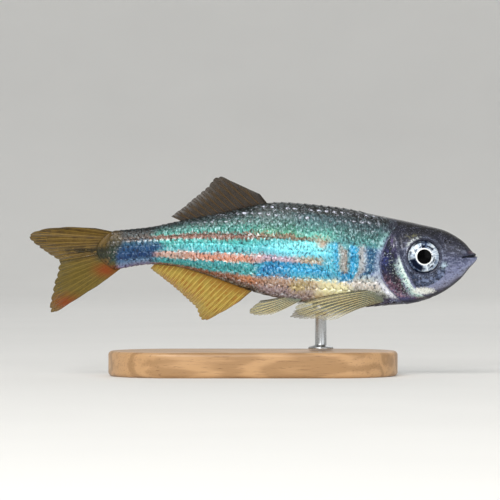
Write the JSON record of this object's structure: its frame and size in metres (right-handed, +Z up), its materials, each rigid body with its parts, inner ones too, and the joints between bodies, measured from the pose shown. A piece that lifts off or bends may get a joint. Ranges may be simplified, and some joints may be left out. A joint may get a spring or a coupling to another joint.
{
  "type": "giant danio fish",
  "caption": "Life-size slim stream fish with a forked tail and open fins, held level by a rod on a flat display base.",
  "frame": {"origin": "middle of the display base's underside, under the middle of the fish's whole length", "axes": "+X from the tail to the snout, +Z up out of the base, -Y out of the fish's right flank"},
  "size_m": [0.09, 0.027, 0.04],
  "materials": {
    "head_skin": "wet, blue-grey with a violet metallic sheen",
    "scaled_skin": "wet scales, blue-green with orange stripes and a metallic sheen",
    "eye": "silver iris with a black pupil under a clear gloss",
    "fin_membrane": "thin translucent olive-gold web with darker rays",
    "stand_wood": "pale hardwood, satin varnish",
    "stand_steel": "brushed"
  },
  "bodies": {
    "root": {"head": "head_skin", "lower_jaw": "head_skin", "gill_cover_right": "head_skin", "gill_cover_left": "head_skin", "torso": "scaled_skin", "tail_stalk": "scaled_skin", "eye_right": "eye", "eye_left": "eye", "dorsal_fin": "fin_membrane", "anal_fin": "fin_membrane", "caudal_fin_upper_lobe": "fin_membrane", "caudal_fin_lower_lobe": "fin_membrane", "pectoral_fin_right": "fin_membrane", "pectoral_fin_left": "fin_membrane", "pelvic_fin_right": "fin_membrane", "pelvic_fin_left": "fin_membrane", "stand_base": "stand_wood", "stand_rod": "stand_steel"}
  },
  "joints": []
}
